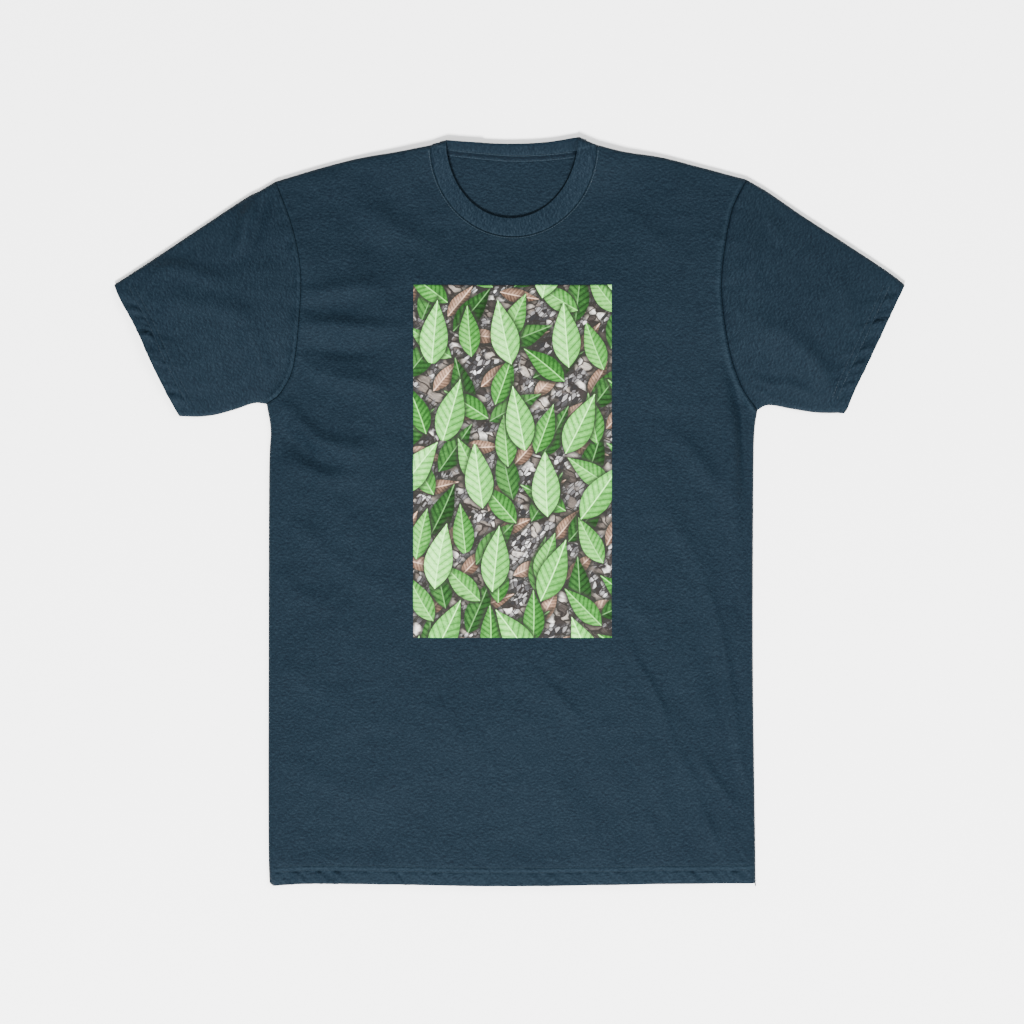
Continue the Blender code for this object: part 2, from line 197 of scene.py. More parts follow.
def smooth_curve(plan_points, step, crowded=()):
    """A Catmull-Rom curve through plan points in millimetres, as points in metres."""
    points = np.array(plan_points, float) * MM
    padded = np.vstack([2 * points[0] - points[1], points, 2 * points[-1] - points[-2]])
    t = np.linspace(0, 1, 24, endpoint=False)[:, None]
    dense = [
        0.5 * (2 * b + (c - a) * t + (2 * a - 5 * b + 4 * c - d) * t**2 + (3 * b - a - 3 * c + d) * t**3)
        for a, b, c, d in zip(padded, padded[1:], padded[2:], padded[3:])
    ]
    return resample(np.vstack([*dense, points[-1:]]), step, crowded)


def shifted(line, distance):
    """The line moved sideways in plan, to its left as it runs."""
    along = np.gradient(line, axis=0)
    along /= np.linalg.norm(along, axis=1)[:, None]
    return line + distance * np.stack([-along[:, 1], along[:, 0]], axis=1)


def nearest(line, points):
    """The distance in plan from each point to a polyline, and how far along the line the nearest place is."""
    start, run = line[:-1], np.diff(line, axis=0)
    squared = (run**2).sum(1)
    lengths = lengths_along(line)
    distances, places = [], []
    for block in np.array_split(points, max(1, len(points) // 4000)):
        offset = block[:, None] - start[None]
        share = np.clip((offset * run).sum(2) / squared, 0, 1)
        away = np.linalg.norm(offset - share[..., None] * run, axis=2)
        best = away.argmin(1)
        rows = np.arange(len(block))
        distances.append(away[rows, best])
        places.append(lengths[best] + share[rows, best] * np.sqrt(squared[best]))
    return np.concatenate(distances), np.concatenate(places)


def distance_to(line, points):
    return nearest(line, points)[0]


def inside(polygon, points):
    """Which points lie in a closed polygon, by the even-odd rule."""
    a, b = polygon, np.roll(polygon, -1, axis=0)
    rise = np.where(b[:, 1] == a[:, 1], 1, b[:, 1] - a[:, 1])
    found = []
    for block in np.array_split(points, max(1, len(points) // 4000)):
        x, y = block[:, :1], block[:, 1:]
        spans = (a[:, 1] > y) != (b[:, 1] > y)
        crosses = spans & (x < (b[:, 0] - a[:, 0]) * (y - a[:, 1]) / rise + a[:, 0])
        found.append(crosses.sum(1) % 2 == 1)
    return np.concatenate(found)


def soft_waves(points, shortest, longest, seed, lean=None):
    """Smooth irregular relief of about unit height: many waves of random length, direction and phase."""
    random = np.random.default_rng(seed)
    total = np.zeros(len(points))
    count = 22
    for _ in range(count):
        length = random.uniform(shortest, longest)
        angle = random.uniform(0, np.pi) if lean is None else random.normal(lean, 0.28)
        direction = np.array([math.cos(angle), math.sin(angle)])
        total += np.sin(points @ direction * 2 * np.pi / length + random.uniform(0, 2 * np.pi))
    return total / math.sqrt(count / 2)


def puckers(place, seed, lengths):
    """Uneven gathers along a seam, of about unit height, from waves of the given lengths in millimetres."""
    random = np.random.default_rng(seed)
    total = np.zeros(len(place))
    for length in lengths:
        drift = 0.9 * np.sin(place * 2 * np.pi / (length * 5.3 * MM) + random.uniform(0, 6))
        total += np.sin(place * 2 * np.pi / (length * MM) + drift + random.uniform(0, 6))
    return total / 2


def front_neckline(depth, right_end, left_end, angles, wider=0.0):
    """Points of a half ellipse that hangs between the two ends, from the right one to the left one."""
    right, left = np.array(right_end) * MM, np.array(left_end) * MM
    across = (left - right) / 2
    across = across * (1 + wider / np.linalg.norm(across))
    down = np.array([0, -(depth * MM + wider)])
    return (left + right) / 2 - np.outer(np.cos(angles), across) + np.outer(np.sin(angles), down)


class Envelope:
    """The folded outline of the shirt, and the heights of its two sheets over the plan."""

    coarse = 10 * MM

    def __init__(self):
        self.line = {
            (side, name): smooth_curve(points, self.coarse)
            for side, stretches in STRETCHES.items()
            for name, points in stretches.items()
        }
        self.hem = smooth_curve(HEM_LINE, self.coarse)
        top = [self.line["left", name] for name in ("sleeve_top", "shoulder", "band_fold")]
        top += [smooth_curve(BACK_EDGE, self.coarse)]
        top += [self.line["right", name][::-1] for name in ("band_fold", "shoulder", "sleeve_top")]
        self.folds = [
            np.vstack([self.line["left", "side"], self.line["left", "sleeve_under"][1:]]),
            np.vstack([self.line["right", "side"], self.line["right", "sleeve_under"][1:]]),
            np.vstack([top[0], *[stretch[1:] for stretch in top[1:]]]),
        ]
        self.neck_seam = front_neckline(SEAM_DEPTH, *self.band_ends(0), np.linspace(0, np.pi, 48))
        self.cuffs = [self.line[side, "cuff"] for side in ("left", "right")]
        self.mouths = [("hem", self.hem), ("cuff", self.cuffs[0]), ("cuff", self.cuffs[1])]
        self.neck_edge = front_neckline(EDGE_DEPTH, *self.band_ends(-1), np.linspace(0, np.pi, 48))
        self.mouths.append(("neck", self.neck_edge))
        self.folds_in_cloth = [
            (smooth_curve(path, self.coarse), width * MM, height * MM) for path, width, height in FOLDS
        ]

    def band_ends(self, which):
        """The ends of the front neckline on the shoulder folds: of the seam (0) or of the free edge (-1)."""
        return [STRETCHES[side]["band_fold"][which] for side in ("right", "left")]

    def fold_distance(self, points):
        """The distance to the folds, blended where two are near. Points beside a fold count as on it."""
        near = np.stack([distance_to(line, points) for line in self.folds])
        blended = (np.maximum(near, 0.3 * MM) ** -3).sum(0) ** (-1 / 3)
        return np.where(near.min(0) <= 0.35 * MM, 0, blended)

    def collar(self, points):
        """How much of the standing collar's lift reaches a place, from 0 to 1."""
        beside = 1 - ease(np.abs(points[:, 0] - COLLAR_CENTRE), 85 * MM, 165 * MM)
        return beside * ease(points[:, 1], 300 * MM, 352 * MM)

    def fold_height(self, points):
        return FOLD_HEIGHT + COLLAR_LIFT * self.collar(points)

    def crown_share(self, points):
        share = np.ones(len(points))
        for name, line in self.mouths:
            left, reach = MOUTHS[name]
            share *= left + (1 - left) * ease(distance_to(line, points), 0, reach)
        return share

    def front(self, points, distance):
        rounding = FOLD_RADIUS * quarter_round(distance / FOLD_RADIUS)
        crown = CROWN * np.sin(np.pi / 2 * np.minimum(distance / CROWN_REACH, 1))
        sag = NECK_SAG * bump(distance_to(self.neck_edge, points), NECK_SAG_REACH)
        sag *= ease(distance, 8 * MM, 45 * MM)
        return self.fold_height(points) + rounding + crown * self.crown_share(points) - sag

    def back(self, points, distance):
        fold = self.fold_height(points)
        rolled = fold + COLLAR_ROLL * self.collar(points)
        return fold * (1 - quarter_round(distance / rolled))

    def drape(self, points, distance):
        """The folds, the slack between them and the small crumple of the front sheet."""
        relief = np.zeros(len(points))
        for path, width, height in self.folds_in_cloth:
            away, place = nearest(path, points)
            share = place / lengths_along(path)[-1]
            ends = np.sin(np.pi * np.clip(share, 0.04, 0.96)) ** 0.7
            beyond = np.linalg.norm(points - path[0], axis=1) * (share <= 0)
            beyond += np.linalg.norm(points - path[-1], axis=1) * (share >= 1)
            relief += FOLD_GAIN * height * bump(away, width) * ends * bump(beyond, width)
        left_half = 1 - ease(points[:, 0], -150 * MM, 40 * MM)
        lower = 1 - ease(points[:, 1], -120 * MM, 60 * MM)
        slack = 0.65 * MM * left_half * (1 - 0.7 * lower)
        relief += slack * soft_waves(points, 34 * MM, 80 * MM, 3, lean=0.95)
        slack = 0.35 * MM * (1 - left_half) * lower
        relief += slack * soft_waves(points, 30 * MM, 70 * MM, 5, lean=0.35)
        relief += 0.45 * MM * soft_waves(points, 60 * MM, 150 * MM, 7)
        relief += 0.18 * MM * soft_waves(points, 16 * MM, 36 * MM, 11)
        relief += 0.06 * MM * soft_waves(points, 6 * MM, 12 * MM, 13)
        return relief * ease(distance, 0, 16 * MM)

    def hem_relief(self, line, points, seed, slack, gathers):
        """A turned hem: it is thicker, its twin stitch lines are sunk, it rolls down to its edge, and it
        puckers below the stitches, most at the gathers (place, reach, how much more)."""
        away, place = nearest(line, points)
        stitches = sum(bump(away - at, 1.1 * MM) for at in HEM_STITCHES)
        between = bump(away - sum(HEM_STITCHES) / 2, 1.6 * MM)
        turned = 1 - ease(away, HEM_WIDTH - 1.5 * MM, HEM_WIDTH + 1.5 * MM)
        slanted = place + 0.8 * away
        free = ease(away, -2 * MM, 5 * MM) * (1 - ease(away, 9.5 * MM, HEM_STITCHES[0]))
        above = bump(away - 25 * MM, 7 * MM)
        gathered = 0.55 + 0.2 * np.sin(place * 2 * np.pi / (143 * MM) + seed)
        gathered += sum(more * bump(place - at * MM, reach * MM) for at, reach, more in gathers)
        relief = 0.3 * MM * turned - 0.9 * MM * stitches + 0.35 * MM * between
        swelling = 0.7 * MM * (1 - ease(away, 18 * MM, 42 * MM))
        relief += slack * (swelling - 1.1 * MM * (1 - ease(away, 0, 17 * MM)))
        relief += (1.5 * free + 0.3 * above) * gathered * MM * puckers(slanted, seed, (9.5, 14, 23))
        relief += 0.35 * MM * between * puckers(place, seed + 1, (6.2, 7.7))
        return relief + 0.45 * MM * turned * puckers(place, seed + 2, (31, 47))

    def seam_relief(self, line, points, raised_side, seed):
        """A plain seam: a narrow groove at the line, and the seam allowance as a soft ridge on one side."""
        away, place = nearest(line, points)
        relief = -0.75 * MM * bump(away, 0.9 * MM)
        relief += (1.1 if raised_side else 0.3) * MM * bump(away - 3.2 * MM, 1.8 * MM)
        return relief + 0.4 * MM * bump(away - 6 * MM, 8 * MM) * puckers(place, seed, (13, 21, 34))

    def dressed_front(self, points, distance=None, sleeve=None):
        """The front sheet with its drape, hems and seams."""
        distance = self.fold_distance(points) if distance is None else distance
        relief = self.drape(points, distance) + self.hem_relief(self.hem, points, 21, 1.0, HEM_GATHERS)
        for cuff, seed in zip(self.cuffs, (31, 41)):
            relief += self.hem_relief(cuff, points, seed, 0.4, CUFF_GATHERS)
        for side, seed in (("left", 51), ("right", 61)):
            allowance_here = (sleeve is not None) == (side == "right")
            relief += self.seam_relief(self.line[side, "armhole"], points, allowance_here, seed)
        if sleeve is None:
            away, place = nearest(self.neck_seam, points)
            relief -= 0.5 * MM * bump(away, 1.2 * MM)
            relief += 0.45 * MM * bump(away - 4 * MM, 2.6 * MM)
            relief += 0.12 * MM * bump(away - 5 * MM, 6 * MM) * puckers(place, 71, (7, 11, 19))
        return self.front(points, distance) + relief * ease(distance, 0, 6 * MM)

    def dressed_back(self, points, distance=None):
        """The back sheet lies on the surface, with slight waves where it lifts off."""
        distance = self.fold_distance(points) if distance is None else distance
        lift = 0.35 * MM * (1 + np.tanh(soft_waves(points, 50 * MM, 140 * MM, 17)))
        away, place = nearest(self.hem, points)
        lift += 0.2 * MM * bump(away - 8 * MM, 6 * MM) * (1 + np.sin(place * 2 * np.pi / (17 * MM)))
        return self.back(points, distance) + lift * ease(distance, 4 * MM, 26 * MM)


def plan_mesh(envelope, polygon, step, rings, lines=(), rows=()):
    """Fills a polygon with triangles: its own points, rings beside the folds, rows beside the seams, given
    lines and a staggered grid. A row is a line and its distances to either side."""
    outline = np.vstack([polygon, polygon[:1]])
    found = [polygon]
    evenly = [resample(line, step) for line in envelope.folds]
    for ring in rings:
        beside = np.vstack([shifted(line, side * ring) for line in evenly for side in (-1, 1)])
        beside = beside[inside(polygon, beside)]
        on_ring = np.abs(envelope.fold_distance(beside) - ring) < 0.15 * ring
        found.append(beside[on_ring & (distance_to(outline, beside) > 0.7 * ring)])
    for line, distances in rows:
        fine = resample(line, ROW_STEP)
        for at in distances:
            beside = np.vstack([shifted(fine, side * at) for side in (-1, 1)])
            beside = beside[inside(polygon, beside)]
            off_fold = envelope.fold_distance(beside) > rings[-1] + 0.4 * MM
            found.append(beside[off_fold & (distance_to(outline, beside) > 0.3 * MM)])
    low, high = polygon.min(0), polygon.max(0)
    grid_rows = np.arange(low[1], high[1], step * math.sqrt(3) / 2)
    columns = np.arange(low[0], high[0] + step, step)
    grid = np.stack(np.meshgrid(columns, grid_rows), axis=2)
    grid[1::2, :, 0] += step / 2
    grid = grid.reshape(-1, 2)
    grid = grid[inside(polygon, grid)]
    off_fold = envelope.fold_distance(grid) > rings[-1] + 0.45 * step
    grid = grid[off_fold & (distance_to(outline, grid) > 0.45 * step)]
    for line, distances in rows:
        away = distance_to(line, grid)
        grid = grid[(away < distances[0] - 0.4 * step) | (away > distances[-1] + 0.4 * step)]
    edges = [(i, (i + 1) % len(polygon)) for i in range(len(polygon))]
    first = sum(len(part) for part in found)
    for line in lines:
        closed = np.vstack([line, line[:1]])
        grid = grid[distance_to(closed, grid) > 0.35 * step]
        found.append(line)
        edges += [(first + i, first + (i + 1) % len(line)) for i in range(len(line))]
        first += len(line)
    points = np.vstack([*found, grid])
    made = delaunay_2d_cdt([tuple(p) for p in points], edges, [], 1, 1e-7)
    return np.array([tuple(p) for p in made[0]]), np.array([tuple(face) for face in made[2]])


def new_piece(name, places, faces, material, smooth=True):
    mesh = bpy.data.meshes.new(name)
    mesh.from_pydata([tuple(p) for p in places], [], [tuple(face) for face in faces])
    mesh.materials.append(material)
    mesh.update()
    if smooth:
        mesh.shade_smooth()
    made = bpy.data.objects.new(name, mesh)
    bpy.context.scene.collection.objects.link(made)
    return made


def give_thickness(made, thickness, outward=False):
    shell = made.modifiers.new("thickness", "SOLIDIFY")
    shell.thickness = thickness
    shell.offset = 1 if outward else -1
    shell.use_quality_normals = True
    return shell


def double_the_hem(made, plan, distance, hem):
    """The turned hem is two layers of cloth, except on the fold."""
    group = made.vertex_groups.new(name="hem")
    in_hem = distance_to(hem, plan) < HEM_WIDTH
    group.add(np.flatnonzero(in_hem & (distance > 0)).tolist(), 1, "REPLACE")
    shell = give_thickness(made, 2 * CLOTH)
    shell.vertex_group = group.name
    shell.thickness_vertex_group = 0.5


def quads(pairs, n):
    """Faces between pairs of rows of n points."""
    return [(a * n + i, b * n + i, b * n + i + 1, a * n + i + 1) for a, b in pairs for i in range(n - 1)]


def mark_painted_light(made, plan, edges):
    """A colour attribute for the material that carries painted light: positive values paint a highlight that
    lightens the cloth near lines, and negative values paint shade that darkens it.
    Each edge is a line, a strength, and the distances at which it starts to fade and is gone."""
    painted_light = np.zeros(len(plan))
    for line, strength, low, high in edges:
        here = strength * (1 - ease(distance_to(line, plan), low, high))
        painted_light = np.where(np.abs(here) > np.abs(painted_light), here, painted_light)
    layer = made.data.color_attributes.new("painted_light", "FLOAT_COLOR", "POINT")
    colours = np.column_stack([painted_light, painted_light, painted_light, np.ones(len(painted_light))]).astype(np.float32)
    layer.data.foreach_set("color", colours.ravel())


# Materials.

SPECULAR = 0.078


class Tree:
    """A material's node tree, built by short calls that return output sockets."""

    def __init__(self, name, roughness, sheen):
        self.material = bpy.data.materials.new(name)
        self.material.use_nodes = True
        self.nodes = self.material.node_tree.nodes
        self.links = self.material.node_tree.links
        self.shader = self.nodes["Principled BSDF"]
        self.shader.inputs["Roughness"].default_value = roughness
        self.shader.inputs["Specular IOR Level"].default_value = SPECULAR
        self.shader.inputs["Sheen Weight"].default_value = sheen
        self.shader.inputs["Sheen Roughness"].default_value = 0.45
        self.place = self.add("ShaderNodeTexCoord").outputs["Object"]

    def add(self, kind, inputs=(), **settings):
        node = self.nodes.new(kind)
        for name, value in settings.items():
            setattr(node, name, value)
        for key, value in dict(inputs).items():
            if isinstance(value, bpy.types.NodeSocket):
                self.links.new(value, node.inputs[key])
            else:
                node.inputs[key].default_value = value
        return node

    def math(self, operation, *values):
        return self.add("ShaderNodeMath", enumerate(values), operation=operation).outputs[0]

    def chain(self, operation, values):
        result = values[0]
        for value in values[1:]:
            result = self.math(operation, result, value)
        return result

    def plus(self, *values):
        return self.chain("ADD", values)

    def times(self, *values):
        return self.chain("MULTIPLY", values)

    def minus(self, a, b):
        return self.math("SUBTRACT", a, b)

    def vector(self, operation, *values):
        return self.add("ShaderNodeVectorMath", enumerate(values), operation=operation).outputs[0]

    def split(self, vector):
        return self.add("ShaderNodeSeparateXYZ", {0: vector}).outputs

    def combine(self, x, y, z=0.0):
        return self.add("ShaderNodeCombineXYZ", {0: x, 1: y, 2: z}).outputs[0]

    def turned(self, vector, angle, scale=None):
        turn = self.add("ShaderNodeVectorRotate", {"Vector": vector, "Angle": angle}, rotation_type="Z_AXIS")
        return turn.outputs[0] if scale is None else self.vector("MULTIPLY", turn.outputs[0], scale)

    def noise(self, vector, scale, detail=2.0, roughness=0.5):
        inputs = {"Vector": vector, "Scale": scale, "Detail": detail, "Roughness": roughness}
        return self.add("ShaderNodeTexNoise", inputs).outputs["Fac"]

    def step(self, value, low, high):
        """A smooth step from 0 at low to 1 at high."""
        inputs = {"Value": value, "From Min": low, "From Max": high}
        return self.add("ShaderNodeMapRange", inputs, interpolation_type="SMOOTHSTEP").outputs["Result"]

    def ramp(self, value, *stops):
        node = self.add("ShaderNodeValToRGB", {"Fac": value})
        while len(node.color_ramp.elements) < len(stops):
            node.color_ramp.elements.new(1)
        for element, (position, colour) in zip(node.color_ramp.elements, stops):
            element.position = position
            element.color = (*colour, 1)
        return node.outputs["Color"]

    def mix(self, share, a, b, blend="MIX"):
        node = self.add("ShaderNodeMix", data_type="RGBA", blend_type=blend)
        for key, value in ((0, share), (6, a), (7, b)):
            if isinstance(value, bpy.types.NodeSocket):
                self.links.new(value, node.inputs[key])
            else:
                node.inputs[key].default_value = (*value, 1) if isinstance(value, tuple) else value
        return node.outputs[2]

    def finish(self, colour, height, depth, strength=0.6):
        self.links.new(colour, self.shader.inputs["Base Color"])
        relief = self.add("ShaderNodeBump", {"Height": height, "Strength": strength, "Distance": depth})
        self.links.new(relief.outputs[0], self.shader.inputs["Normal"])
        return self.material


# How cloth is seen up close: knit pitch, and the streaks of its uneven yarn, per metre.
WALE = 1.0 * MM
COURSE = 0.85 * MM
SLUB = (130, 520, 130)
YARN = (320, 980, 320)
# Between two thick rows of yarn the cloth is darker: how far away, and how much of the tone.
NEXT_ROW = 1.95 * MM
NEXT_ROW_SHARE = 0.35
CLOUDS = 14.0
FLECK = 820.0
# How much the slubs, the yarn, the clouds and the flecks each add to the tone.
TONE_SHARES = (0.12, 0.59, 0.05, 0.24)
DARK_TONE = (0.0, 0.40, 0.55)
LIGHT_TONE = (3.5, 1.95, 1.68)
TONE_GAIN = 2.4
# How strongly the painted highlight and painted shade along lines change the cloth's tone.
PAINTED_LIGHT_TONE = 0.5
# The courses of the knit wander: how far, and how many waves a metre.
WANDER = 5 * MM
WANDER_SCALE = 75.0


def knit_height(tree, place):
    """Rows of small chevrons, as a plain knit shows on its face."""
    x, y, _ = tree.split(place)
    wale = tree.math("PINGPONG", tree.math("DIVIDE", x, WALE), 0.5)
    course = tree.plus(tree.math("DIVIDE", y, COURSE), tree.times(wale, 0.9))
    loop = tree.math("SINE", tree.times(course, 2 * math.pi))
    return tree.plus(tree.times(loop, 0.25), wale)


def cloth_tone(tree, angle):
    """The tone of uneven yarn as a value about 0.5, and the knit's height. Courses run at the angle."""
    wander = tree.times(tree.noise(tree.place, WANDER_SCALE, 2.0), WANDER)
    along = tree.vector("ADD", tree.turned(tree.place, -angle), tree.combine(0.0, wander))
    slub = tree.noise(tree.vector("MULTIPLY", along, SLUB), 1.0, 3.0, 0.6)
    yarn, next_yarn = (
        tree.noise(tree.vector("MULTIPLY", row, YARN), 1.0, 2.0, 0.6)
        for row in (along, tree.vector("ADD", along, (0.0, NEXT_ROW, 0.0)))
    )
    yarn = tree.minus(yarn, tree.times(tree.minus(next_yarn, 0.5), NEXT_ROW_SHARE))
    cloudy = tree.noise(tree.place, CLOUDS, 3.0, 0.55)
    fleck = tree.noise(tree.place, FLECK, 1.0)
    parts = [tree.times(value, share) for value, share in zip((slub, yarn, cloudy, fleck), TONE_SHARES)]
    tone = tree.plus(tree.times(tree.minus(tree.plus(*parts), 0.5), TONE_GAIN), 0.5)
    height = tree.plus(knit_height(tree, along), tree.times(slub, 1.6))
    return tone, height


def jersey(name, angle, colour):
    tree = Tree(name, roughness=0.76, sheen=0.0)
    tone, height = cloth_tone(tree, angle)
    # The colour attribute paints light: painted highlights lighten the tone and painted shade darkens it.
    painted_lightness = tree.split(tree.add("ShaderNodeAttribute", attribute_name="painted_light").outputs["Color"])[0]
    tone = tree.plus(tone, tree.times(painted_lightness, PAINTED_LIGHT_TONE))
    dark, light = (tuple(c * f for c, f in zip(colour, tone_of)) for tone_of in (DARK_TONE, LIGHT_TONE))
    shade = tree.ramp(tone, (0.15, dark), (0.5, colour), (0.85, light))
    return tree.finish(shade, height, 0.22 * MM)


def thread(name, colour):
    """Spun thread: fine twisted plies, lighter where it catches the light."""
    tree = Tree(name, roughness=0.75, sheen=0.1)
    plies = tree.noise(tree.vector("MULTIPLY", tree.place, (2600, 900, 900)), 1.0, 2.0)
    dark, light = (tuple(c * factor for c in colour) for factor in (0.7, 1.35))
    return tree.finish(tree.ramp(plies, (0.3, dark), (0.7, light)), plies, 0.1 * MM)


DYE = (0.00136, 0.00553, 0.01006)
RIB_DYE = (0.0019, 0.0066, 0.0117)
# The seam thread is its own lighter colour with a painted highlight added.
SEAM_THREAD_COLOUR_AND_HIGHLIGHT = (0.0115, 0.0210, 0.0300)
# The hem and cuff thread is the seam thread painted darker, as painted shade in the sunk stitch lines.
HEM_THREAD_PAINTED_SHADE = (0.0036, 0.0092, 0.0147)

jersey_body = jersey("jersey_body", 0.0, DYE)
jersey_left = jersey("jersey_left_sleeve", math.radians(65), DYE)
jersey_right = jersey("jersey_right_sleeve", math.radians(-63.6), DYE)
jersey_rib = jersey("jersey_rib", math.radians(90), RIB_DYE)
seam_thread = thread("seam_thread", SEAM_THREAD_COLOUR_AND_HIGHLIGHT)
hem_thread_painted_shade = thread("hem_thread_painted_shade", HEM_THREAD_PAINTED_SHADE)


# The printed design: stylised leaves on a ground of bark chips, laid out in staggered rows.

# How far a leaf strays from the middle of its cell, turns and bends, and how far each row is moved.
LEAF_JITTER = 0.22
LEAF_TURN = 1.5
LEAF_CURL = 0.16
LEAF_STAGGER = 0.46
LEAF_DRY = ((0.035, 0.020, 0.014), (0.14, 0.083, 0.055), (0.40, 0.26, 0.19))
LEAF_DARK = ((0.003, 0.012, 0.002), (0.010, 0.044, 0.008), (0.042, 0.15, 0.028))
LEAF_MIDDLE = ((0.007, 0.042, 0.005), (0.030, 0.145, 0.020), (0.12, 0.38, 0.075))
LEAF_BRIGHT = ((0.024, 0.115, 0.016), (0.085, 0.33, 0.055), (0.29, 0.72, 0.20))
BROWN_CHIPS = [
    (0.2, (0.018, 0.015, 0.014)),
    (0.45, (0.085, 0.070, 0.060)),
    (0.7, (0.25, 0.22, 0.19)),
    (0.9, (0.74, 0.72, 0.68)),
]
GREY_CHIPS = [
    (0.25, (0.012, 0.012, 0.013)),
    (0.5, (0.066, 0.064, 0.067)),
    (0.75, (0.22, 0.215, 0.215)),
    (0.9, (0.68, 0.68, 0.68)),
]
# From the lowest layer up: its shift, its cells' size and angle, a leaf's length and width, the seed, the
# tones and the pitch of the veins.
LEAF_LAYERS = [
    ((9.0, 44.0, 0.0), (41.0, 47.0), 1.15, 40.0, 13.0, 41.0, LEAF_DRY, 5.0),
    ((0.0, 0.0, 0.0), (50.0, 62.0), 0.5, 58.0, 21.0, 3.0, LEAF_DARK, 6.5),
    ((17.0, 31.0, 0.0), (44.0, 57.0), -0.35, 52.0, 19.0, 11.0, LEAF_MIDDLE, 6.0),
    ((5.0, 12.0, 0.0), (64.0, 74.0), 0.12, 66.0, 25.0, 27.0, LEAF_BRIGHT, 7.0),
]


def chips(tree, place, size, angle, colours):
    """Bark chips: stretched cells, each with its own tone and grain, with dark gaps between."""
    wobble = tree.noise(place, 0.06, 2.0)
    stretched = tree.turned(place, angle, (1 / size, 1.9 / size, 1))
    wobble = tree.times(wobble, 1.4)
    stretched = tree.vector("ADD", stretched, tree.combine(wobble, wobble, wobble))
    cell = tree.add("ShaderNodeTexVoronoi", {"Vector": stretched, "Scale": 1.0}, feature="F1")
    edge = tree.add("ShaderNodeTexVoronoi", {"Vector": stretched, "Scale": 1.0}, feature="DISTANCE_TO_EDGE")
    tone = tree.split(cell.outputs["Color"])[0]
    grain = tree.noise(tree.vector("MULTIPLY", stretched, (1.2, 9, 1)), 1.0, 4.0, 0.65)
    tone = tree.plus(tree.times(tone, 0.75), tree.times(grain, 0.45))
    lit = tree.ramp(tree.minus(tone, 0.1), *colours)
    gap = tree.step(edge.outputs["Distance"], 0.02, 0.16)
    return tree.mix(gap, (0.012, 0.010, 0.009), lit)


def leaf_layer(tree, place, cell, angle, length, width, seed):
    """One leaf in each staggered cell. Gives how far inside a leaf a place is, in millimetres, with the
    place along the leaf, the place across it and the leaf's own random value."""
    x, y, _ = tree.split(tree.turned(place, angle, (1 / cell[0], 1 / cell[1], 1)))
    row = tree.math("FLOOR", y)
    x = tree.plus(x, tree.times(row, LEAF_STAGGER))
    column = tree.math("FLOOR", x)
    vector = tree.combine(column, row, seed)
    noise = tree.add("ShaderNodeTexWhiteNoise", {"Vector": vector}, noise_dimensions="3D")
    first, second, third = tree.split(noise.outputs["Color"])
    local = []
    for value, own, size in ((x, first, cell[0]), (y, second, cell[1])):
        middle = tree.plus(tree.times(tree.minus(own, 0.5), LEAF_JITTER), 0.5)
        local.append(tree.times(tree.minus(tree.math("FRACT", value), middle), size))
    turn = tree.times(tree.minus(third, 0.5), LEAF_TURN)
    across, along, _ = tree.split(tree.turned(tree.combine(*local), turn))
    share = tree.plus(tree.math("DIVIDE", along, length), 0.5)
    from_root = tree.math("ABSOLUTE", tree.minus(share, 0.2))
    curl = tree.times(tree.math("POWER", from_root, 2.0), LEAF_CURL * length)
    across = tree.minus(across, tree.times(curl, tree.minus(first, 0.5)))
    round_end = tree.times(share, tree.minus(1.0, share))
    taper = tree.minus(1.55, share)
    half_width = tree.times(tree.times(round_end, taper), 2.0 * width)
    from_rib = tree.math("ABSOLUTE", across)
    inner = tree.minus(half_width, from_rib)
    return inner, share, across, from_rib, first


def add_leaves(tree, under, layer, tones, vein_pitch):
    """Paints a layer of leaves, with midrib, side veins and a soft shadow, over what is under it."""
    inner, share, across, from_rib, own = layer
    shadow = tree.times(tree.step(inner, -6.0, 0.0), 0.88)
    under = tree.mix(shadow, under, (0.012, 0.012, 0.010))
    slant = tree.minus(tree.times(share, 60.0), tree.times(from_rib, 0.85))
    vein = tree.math("PINGPONG", tree.math("DIVIDE", slant, vein_pitch), 0.5)
    ridge = tree.minus(1.0, tree.step(vein, 0.03, 0.13))
    half = tree.step(across, -1.5, 1.5)
    mottle = tree.noise(tree.place, 260.0, 4.0, 0.6)
    rim = tree.step(inner, 0.0, 5.0)
    shades = ((own, 0.34), (mottle, 0.52), (half, -0.20), (vein, 0.38), (rim, 0.12), (ridge, -0.16))
    tone = tree.plus(*(tree.times(value, share) for value, share in shades))
    leaf = tree.ramp(tone, (0.15, tones[0]), (0.5, tones[1]), (0.9, tones[2]))
    rib = tree.minus(1.0, tree.step(from_rib, 0.25, 0.75))
    pale = tuple(min(1.0, 1.25 * c + 0.04) for c in tones[2])
    leaf = tree.mix(tree.times(rib, 0.75), leaf, pale)
    return tree.mix(tree.step(inner, 0.0, 0.45), under, leaf)


def printed_cloth():
    tree = Tree("printed_leaves", roughness=0.78, sheen=0.08)
    place = tree.vector("SCALE", tree.place)
    place.node.inputs["Scale"].default_value = 1 / MM
    ground = chips(tree, place, 17.0, 0.6, BROWN_CHIPS)
    small = chips(tree, place, 6.5, -0.8, GREY_CHIPS)
    picture = tree.mix(tree.step(tree.noise(place, 0.045, 2.0), 0.46, 0.54), ground, small)
    for shift, cell, angle, length, width, seed, tones, vein_pitch in LEAF_LAYERS:
        layer = leaf_layer(tree, tree.vector("ADD", place, shift), cell, angle, length, width, seed)
        picture = add_leaves(tree, picture, layer, tones, vein_pitch)
    tone, height = cloth_tone(tree, 0.0)
    soaked = tree.ramp(tone, (0.2, (0.72, 0.72, 0.72)), (0.5, (0.95, 0.95, 0.95)), (0.75, (1.0, 1.0, 1.0)))
    return tree.finish(tree.mix(0.85, picture, soaked, "MULTIPLY"), height, 0.18 * MM)


